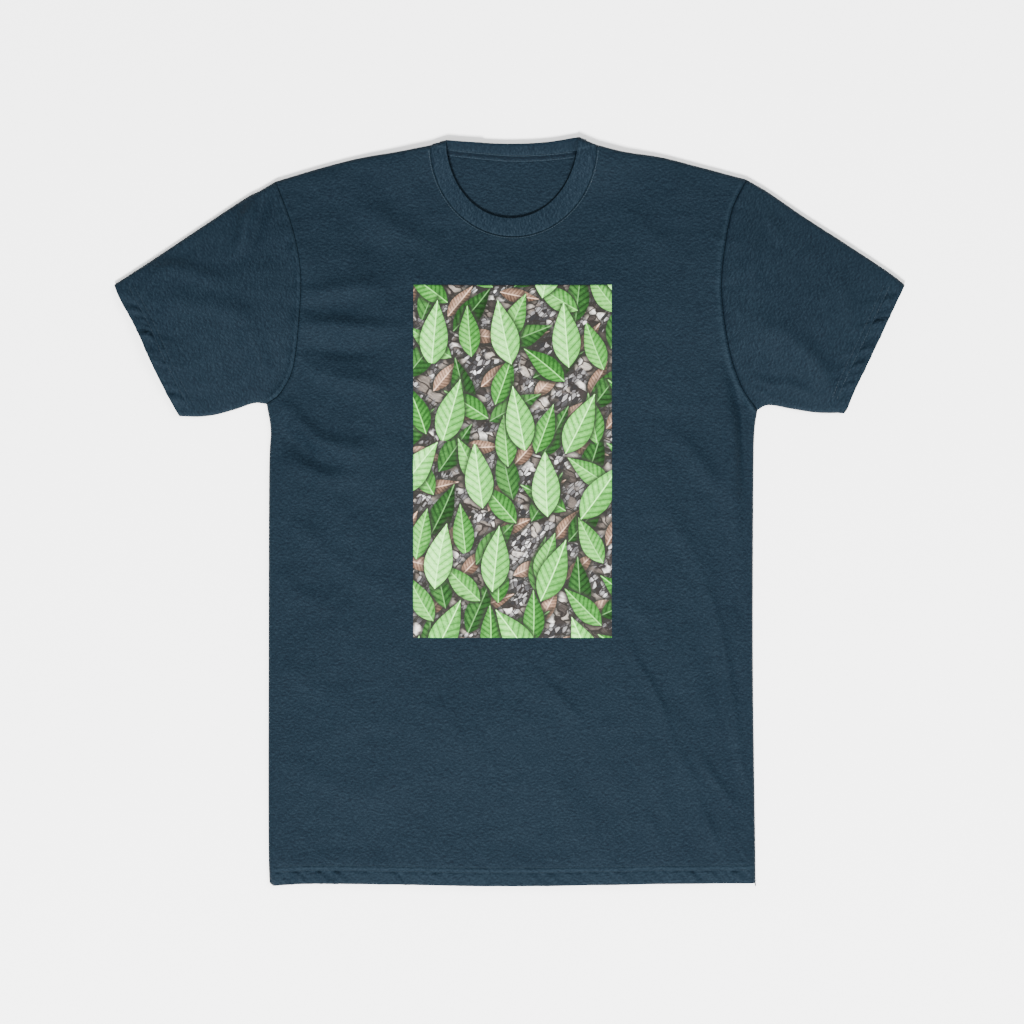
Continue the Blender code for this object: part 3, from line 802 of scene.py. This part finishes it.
print_ink = printed_cloth()


# The cloth.

GRID = 3.2 * MM
BACK_GRID = 5.0 * MM
ROW_STEP = 1.8 * MM
FOLD_RINGS = np.array([0.4, 1.2, 2.6, 4.5]) * MM
SEAM_ROWS = np.array([0.7, 1.5, 2.3, 3.1, 4.1, 5.4]) * MM
HEM_ROWS = np.array([-2.4, -1.1, 0, 1.1, 2.5, 3.9, 5, 6.1, 7.4]) * MM + HEM_STITCHES[0]

envelope = Envelope()


def outline_curve(side, name, step, crowded=()):
    return smooth_curve(STRETCHES[side][name], step, crowded)


def panel_polygon(step, neckline):
    """The plan of a body panel, with its armholes set back by half the seam gap."""
    return np.vstack(
        [
            smooth_curve(HEM_LINE, step, FOLD_RINGS),
            outline_curve("left", "side", step)[1:-1],
            shifted(outline_curve("left", "armhole", step, FOLD_RINGS), -SEAM_GAP / 2)[::-1],
            outline_curve("left", "shoulder", step)[1:-1],
            neckline,
            outline_curve("right", "shoulder", step)[::-1][1:-1],
            shifted(outline_curve("right", "armhole", step, FOLD_RINGS), SEAM_GAP / 2),
            outline_curve("right", "side", step)[::-1][1:-1],
        ]
    )


def print_outline(step):
    centre, size = np.array(PRINT_CENTRE) * MM, np.array(PRINT_SIZE) * MM
    signs = ((-1, -1), (1, -1), (1, 1), (-1, 1), (-1, -1))
    corners = [centre + size / 2 * np.array(sign) for sign in signs]
    return np.vstack([resample(np.array(pair), step)[:-1] for pair in zip(corners, corners[1:])])


def finish_sheet(piece, node, material_painted_light, plan):
    mark_painted_light(piece, plan, material_painted_light)
    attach(piece, "root")
    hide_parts(node)


def front_panel():
    """The chest sheet, and the print as the same faces just above it."""
    seam = front_neckline(SEAM_DEPTH, *envelope.band_ends(0), np.linspace(np.pi, 0, 200), wider=SEAM_GAP)
    polygon = panel_polygon(GRID, resample(seam, GRID, FOLD_RINGS))
    window = print_outline(GRID)
    seams = [envelope.line[side, "armhole"] for side in ("left", "right")] + [envelope.neck_seam]
    rows = [(line, SEAM_ROWS) for line in seams] + [(envelope.hem, HEM_ROWS)]
    plan, faces = plan_mesh(envelope, polygon, GRID, FOLD_RINGS, [window], rows)
    distance = envelope.fold_distance(plan)
    heights = np.maximum(envelope.dressed_front(plan, distance), envelope.fold_height(plan) + SEAM_GAP / 2)
    panel = new_piece("front_sheet", np.column_stack([plan, heights]), faces, jersey_body)
    double_the_hem(panel, plan, distance, envelope.hem)
    # Painted light on the front sheet: painted highlight on the turned hem, on the strip between its stitch
    # rows, along the neck seam, on the folded edges, at the right armhole seam and on the ridge beside the
    # left armhole seam.
    painted_light = [(envelope.hem, 0.2, 17 * MM, 21 * MM), (shifted(envelope.hem, 16 * MM), 0.42, 1.2 * MM, 2.6 * MM)]
    painted_light += [(line, 0.35, 0, 4 * MM) for line in [envelope.neck_seam, *envelope.folds]]
    painted_light += [(envelope.line["right", "armhole"], 0.2, 0, 3 * MM)]
    painted_light += [(shifted(envelope.line["left", "armhole"], -3.8 * MM), 0.42, 0.8 * MM, 2.6 * MM)]
    finish_sheet(panel, "front_panel", painted_light, plan)

    in_window = inside(window, plan[faces].mean(1))
    used, numbers = np.unique(faces[in_window], return_inverse=True)
    places = np.column_stack([plan[used], heights[used] + PRINT_LIFT])
    ink = new_piece("printed_panel", places, numbers.reshape(-1, 3), print_ink)
    give_thickness(ink, PRINT_THICKNESS, outward=True)
    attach(ink, "root")
    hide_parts("chest_print")
    return panel, ink


def back_panel():
    seam = smooth_curve(BACK_SEAM, GRID, FOLD_RINGS)
    polygon = panel_polygon(BACK_GRID, shifted(seam, SEAM_GAP))
    plan, faces = plan_mesh(envelope, polygon, BACK_GRID, FOLD_RINGS)
    distance = envelope.fold_distance(plan)
    heights = np.minimum(envelope.dressed_back(plan, distance), envelope.fold_height(plan) - SEAM_GAP / 2)
    panel = new_piece("back_sheet", np.column_stack([plan, heights]), faces[:, ::-1], jersey_body)
    double_the_hem(panel, plan, distance, envelope.hem)
    # The hem of the back sheet gets a painted highlight.
    finish_sheet(panel, "back_panel", [(envelope.hem, 0.14, 17 * MM, 21 * MM)], plan)
    return panel


def sleeve(side, material):
    away = SEAM_GAP / 2 if side == "left" else -SEAM_GAP / 2
    polygon = np.vstack(
        [
            shifted(outline_curve(side, "armhole", GRID, FOLD_RINGS), away),
            outline_curve(side, "sleeve_under", GRID)[1:],
            outline_curve(side, "cuff", GRID, FOLD_RINGS)[1:],
            outline_curve(side, "sleeve_top", GRID)[1:-1],
        ]
    )
    polygon = polygon if side == "left" else polygon[::-1]
    rows = [(envelope.line[side, "armhole"], SEAM_ROWS), (envelope.line[side, "cuff"], HEM_ROWS)]
    plan, faces = plan_mesh(envelope, polygon, GRID, FOLD_RINGS, rows=rows)
    distance = envelope.fold_distance(plan)
    fold = envelope.fold_height(plan)
    front = np.where(distance > 0, np.maximum(envelope.dressed_front(plan, distance, side), fold), fold)
    back = np.where(distance > 0, np.minimum(envelope.dressed_back(plan, distance), fold), fold)
    places = np.vstack([np.column_stack([plan, front]), np.column_stack([plan, back])])
    piece = new_piece(f"{side}_sleeve", places, np.vstack([faces, faces[:, ::-1] + len(plan)]), material)
    bm = bmesh.new()
    bm.from_mesh(piece.data)
    bmesh.ops.remove_doubles(bm, verts=bm.verts, dist=0.01 * MM)
    bm.to_mesh(piece.data)
    bm.free()
    piece.data.shade_smooth()
    cuff = envelope.line[side, "cuff"]
    kept = np.array([vertex.co[:2] for vertex in piece.data.vertices])
    double_the_hem(piece, kept, envelope.fold_distance(kept), cuff)
    # Painted light on the sleeve: painted highlight on the cuff hem, its edge and the folded edges; at the
    # armhole a painted highlight on the ridge of the right sleeve and painted shade beside the seam on the
    # left sleeve.
    painted_light = [(cuff, 0.08, 17 * MM, 21 * MM), (cuff, 0.35, 0, 2 * MM)]
    seam_painted_light = (0.3, 1.8 * MM, 4.2 * MM) if side == "right" else (-0.2, 0, 5 * MM)
    painted_light += [(envelope.line[side, "armhole"], *seam_painted_light)]
    painted_light += [(line, 0.35, 0, 4 * MM) for line in envelope.folds]
    finish_sheet(piece, f"sleeve_{side}", painted_light, kept)
    return piece


# The rib of the neckband: how many ribs go round, and how many points show each.
RIBS = 190
POINTS_PER_RIB = 6
RIB_HEIGHT = 0.06 * MM
BAND_SWELL = 0.7 * MM


def even_rows(a, b, count):
    """The row starts and ends at equal steps along the middle of a strip."""
    lengths = lengths_along((a + b) / 2)
    wanted = np.linspace(0, lengths[-1], count, endpoint=False)
    return [places_at(wanted, lengths, line) for line in (a, b)]


def neckband():
    """The folded rib as one ring: across the front sheet, over each shoulder fold and along the back."""
    angles = np.linspace(0, np.pi, 400)
    ends = [envelope.band_ends(which) for which in (0, -1)]
    seam, edge = (front_neckline(d, *e, angles) for d, e in zip((SEAM_DEPTH, EDGE_DEPTH), ends))
    back_seam, back_edge = (smooth_curve(points, 0.5 * MM) for points in (BACK_SEAM, BACK_EDGE))
    back = []
    for line in (back_seam, back_edge):
        lengths = lengths_along(line)
        back.append(places_at(np.linspace(0, 1, 300) * lengths[-1], lengths, line))
    front_length = lengths_along((seam + edge) / 2)[-1]
    back_length = lengths_along((back[0] + back[1]) / 2)[-1]
    count = RIBS * POINTS_PER_RIB
    in_front = round(count * front_length / (front_length + back_length))
    parts = [(even_rows(seam, edge, in_front), True), (even_rows(*back, count - in_front), False)]
    across = np.sin(np.linspace(0, np.pi / 2, 13)) * 0.6 + np.linspace(0, 1, 13) * 0.4
    swell = BAND_SWELL * np.sin(np.pi * across) ** 0.6
    rows = []
    for (starts, stops), is_front in parts:
        for a, b in zip(starts, stops):
            plan = a + across[:, None] * (b - a)
            distance = envelope.fold_distance(plan)
            height = envelope.front(plan, distance) if is_front else envelope.back(plan, distance)
            rows.append((plan, height, ease(distance, 0, 8 * MM)))
    rib = RIB_HEIGHT * np.cos(np.arange(count) * 2 * np.pi / POINTS_PER_RIB)
    places, n = [], len(across)
    for (plan, height, lifted), ridge in zip(rows, rib):
        raised = (swell + ridge * ease(across, 0, 0.06) * ease(1 - across, 0, 0.10)) * lifted
        places.append(np.column_stack([plan, height + raised]))
    places = np.vstack(places)
    row_numbers = np.arange(count)
    faces = quads(zip(row_numbers, np.roll(row_numbers, -1)), n)
    piece = new_piece("rib_neckband", places, faces, jersey_rib)
    give_thickness(piece, BAND_THICKNESS)
    # Painted highlight along the neck seam, the free edge and the back seam; painted shade on the back of the
    # band near its top edge.
    painted_light = [(envelope.neck_seam, 0.25, 0, 2 * MM), (envelope.neck_edge, 0.25, 0, 1.5 * MM)]
    painted_light += [(back_edge, -0.25, 3 * MM, 10 * MM), (back_seam, 0.7, 0.3 * MM, 1.3 * MM)]
    finish_sheet(piece, "neckband", painted_light, places[:, :2])
    return piece


def neck_tape():
    """The tape lies on the inside of the back panel, just below the seam of the band."""
    seam = smooth_curve(BACK_SEAM, 2 * MM)
    seam = seam[(seam[:, 0] > TAPE_REACH[0] * MM) & (seam[:, 0] < TAPE_REACH[1] * MM)]
    shares = np.linspace(0, 1, 7)
    plan = np.vstack([shifted(seam, TAPE_START + share * TAPE_WIDTH) for share in shares])
    n = len(seam)
    rounding = np.repeat(np.sin(np.pi * shares) ** 0.5, n)
    weave = 0.06 * MM * np.tile(np.cos(np.arange(n) * np.pi), len(shares))
    heights = envelope.dressed_back(plan) + CLOTH + (0.5 * MM) * rounding + 0.35 * MM + weave
    faces = quads([(row, row + 1) for row in range(len(shares) - 1)], n)
    piece = new_piece("back_neck_tape", np.column_stack([plan, heights]), faces, jersey_body)
    give_thickness(piece, TAPE_THICKNESS)
    # A painted highlight along the tape's edge at the seam and a line of painted shade 3 mm further from the
    # seam.
    painted_light = [(seam, 0.9, 0.8 * MM, 1.8 * MM), (shifted(seam, 3 * MM), -0.6, 0.5 * MM, 1.5 * MM)]
    finish_sheet(piece, "neck_tape", painted_light, plan)
    return piece


# Stitches.

# How far the row beside the neck seam is from it, and how high the tape's face is above the cloth.
NECK_STITCHES = 1.6 * MM
TAPE_FACE = 1.15 * MM
# Where the rows on the tape are, as shares of its width.
TAPE_ROWS = (0.12, 0.86)
# Thread radius, pitch and stitch length.
HEM_SEWING = (0.32 * MM, 3.0 * MM, 2.6 * MM)
NECK_SEWING = (0.26 * MM, 2.6 * MM, 2.3 * MM)
STITCH_POINTS = 5
STITCH_SIDES = 6
# How far a thread's middle is above the cloth and how far its ends sink, in thread radii.
STITCH_RISE = 0.45
STITCH_SINK = 1.15


def stitches(name, lines, surface, slot, material, sewing, facing=1.0):
    """Short threads along plan lines on a surface, each with its two ends sunk into the cloth."""
    radius, pitch, length = sewing
    places, faces = [], []
    shares = np.linspace(-0.5, 0.5, STITCH_POINTS)
    rise = (STITCH_RISE - STITCH_SINK * (2 * np.abs(shares)) ** 3) * radius
    ring = np.linspace(0, 2 * np.pi, STITCH_SIDES, endpoint=False)
    for plan in lines:
        fine = resample(plan, 0.5 * MM)
        spots = np.column_stack([fine, surface(fine)])
        lengths = lengths_along(spots)
        middles = np.arange(0.8 * pitch, lengths[-1] - 0.8 * pitch, pitch)
        wanted = middles[:, None] + shares * length
        path = places_at(wanted, lengths, spots)
        along = path[:, -1] - path[:, 0]
        along /= np.linalg.norm(along, axis=1)[:, None]
        up = np.array([0, 0, facing])
        side = np.cross(up, along)
        side /= np.linalg.norm(side, axis=1)[:, None]
        normal = np.cross(along, side)
        path = path + normal[:, None] * rise[None, :, None]
        for spine, sideways, upward in zip(path, side, normal):
            base = len(places)
            for point in spine:
                places.extend(point + radius * (math.cos(a) * sideways + math.sin(a) * upward) for a in ring)
            for k in range(STITCH_POINTS - 1):
                for s in range(STITCH_SIDES):
                    t = (s + 1) % STITCH_SIDES
                    low, high = base + k * STITCH_SIDES, base + (k + 1) * STITCH_SIDES
                    faces.append((low + s, low + t, high + t, high + s))
            faces.append(tuple(base + s for s in reversed(range(STITCH_SIDES))))
            faces.append(tuple(base + (STITCH_POINTS - 1) * STITCH_SIDES + s for s in range(STITCH_SIDES)))
    piece = new_piece(name, places, faces, material)
    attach(piece, "root")
    return piece


def inner_line(line, distance, trim):
    """The line moved sideways, without its two ends."""
    fine = shifted(resample(line, 2 * MM), distance)
    lengths = lengths_along(fine)
    return fine[(lengths > trim) & (lengths < lengths[-1] - trim)]


def tape_surface(points):
    return envelope.dressed_back(points) + CLOTH + TAPE_FACE


def sew():
    """Twin rows at the hem and the cuffs, on both sheets, a row beside the neck seam and one on the tape."""
    made = []
    hem = smooth_curve(HEM_LINE, 2 * MM)
    hem_rows = [inner_line(hem, at, 4 * MM) for at in HEM_STITCHES]
    # Hems and cuffs are sewn with the thread painted darker as painted shade.
    hemmed = ("jersey", hem_thread_painted_shade, HEM_SEWING)
    seamed = ("jersey", seam_thread, NECK_SEWING)
    made.append(stitches("hem_stitches_front", hem_rows, envelope.dressed_front, *hemmed))
    made.append(stitches("hem_stitches_back", hem_rows, envelope.dressed_back, *hemmed, facing=-1.0))
    for side, sign in (("left", 1), ("right", -1)):
        cuff = outline_curve(side, "cuff", 2 * MM)
        rows = [inner_line(cuff, sign * at, 4 * MM) for at in HEM_STITCHES]
        surface = partial(envelope.dressed_front, sleeve=side)
        made.append(stitches(f"cuff_stitches_front_{side}", rows, surface, *hemmed))
        made.append(stitches(f"cuff_stitches_back_{side}", rows, envelope.dressed_back, *hemmed, facing=-1.0))
    angles = np.linspace(0, np.pi, 300)
    neck = front_neckline(SEAM_DEPTH, *envelope.band_ends(0), angles, wider=NECK_STITCHES)
    made.append(stitches("neck_stitches", [neck[5:-5]], envelope.dressed_front, *seamed))
    seam = smooth_curve(BACK_SEAM, 2 * MM)
    seam = seam[(seam[:, 0] > (TAPE_REACH[0] + 2) * MM) & (seam[:, 0] < (TAPE_REACH[1] - 2) * MM)]
    tape_rows = [shifted(seam, TAPE_START + share * TAPE_WIDTH) for share in TAPE_ROWS]
    made.append(stitches("tape_stitches", tape_rows, tape_surface, "tape", seam_thread, NECK_SEWING))
    return made


front_sheet, printed_panel = front_panel()
back_sheet = back_panel()
left_sleeve = sleeve("left", jersey_left)
right_sleeve = sleeve("right", jersey_right)
rib_neckband = neckband()
back_neck_tape = neck_tape()
sewn = {piece.name: piece for piece in sew()}


# The floor, the light and the camera.

CAMERA_HEIGHT = 3.0
VIEW_CENTRE = (0.0025, -0.0005)
VIEW_WIDTH = 1.0115
SHIRT_LEVEL = 0.004
SENSOR = 36
FLOOR_SIZE = 6.0
WORLD_STRENGTH = 0.742
# Name, place, size and power of each light.
LIGHTS = [("key", (-0.5, -3.5, 4.9), 1.3, 1800), ("fill", (2.2, 1.4, 4.4), 2.4, 286)]


def floor():
    tree = Tree("pale_floor", roughness=0.9, sheen=0.0)
    cloudy = tree.noise(tree.place, 3.0, 3.0)
    fine = tree.noise(tree.place, 240.0, 2.0)
    colour = tree.ramp(cloudy, (0.3, (0.94, 0.94, 0.94)), (0.7, (0.96, 0.96, 0.96)))
    material = tree.finish(colour, fine, 0.02 * MM, 0.2)
    corners = ((-1, -1), (1, -1), (1, 1), (-1, 1))
    places = [(x * FLOOR_SIZE, y * FLOOR_SIZE, -0.2 * MM) for x, y in corners]
    made = new_piece("floor", places, [(0, 1, 2, 3)], material, smooth=False)


def area_light(name, place, size, power):
    """A square white light that looks at the origin."""
    data = bpy.data.lights.new(name, "AREA")
    data.size = size
    data.energy = power
    made = bpy.data.objects.new(name, data)
    made.location = place
    made.rotation_euler = (-Vector(place)).to_track_quat("-Z", "Y").to_euler()
    bpy.context.scene.collection.objects.link(made)


def lighting():
    world = bpy.data.worlds.new("studio")
    world.use_nodes = True
    background = world.node_tree.nodes["Background"]
    background.inputs["Color"].default_value = (1, 1, 1, 1)
    background.inputs["Strength"].default_value = WORLD_STRENGTH
    bpy.context.scene.world = world
    for light in LIGHTS:
        area_light(*light)


def camera():
    data = bpy.data.cameras.new("camera")
    data.sensor_width = SENSOR
    data.lens = SENSOR * (CAMERA_HEIGHT - SHIRT_LEVEL) / VIEW_WIDTH
    made = bpy.data.objects.new("camera", data)
    made.location = (*VIEW_CENTRE, CAMERA_HEIGHT)
    bpy.context.scene.collection.objects.link(made)
    bpy.context.scene.camera = made


floor()
lighting()
camera()
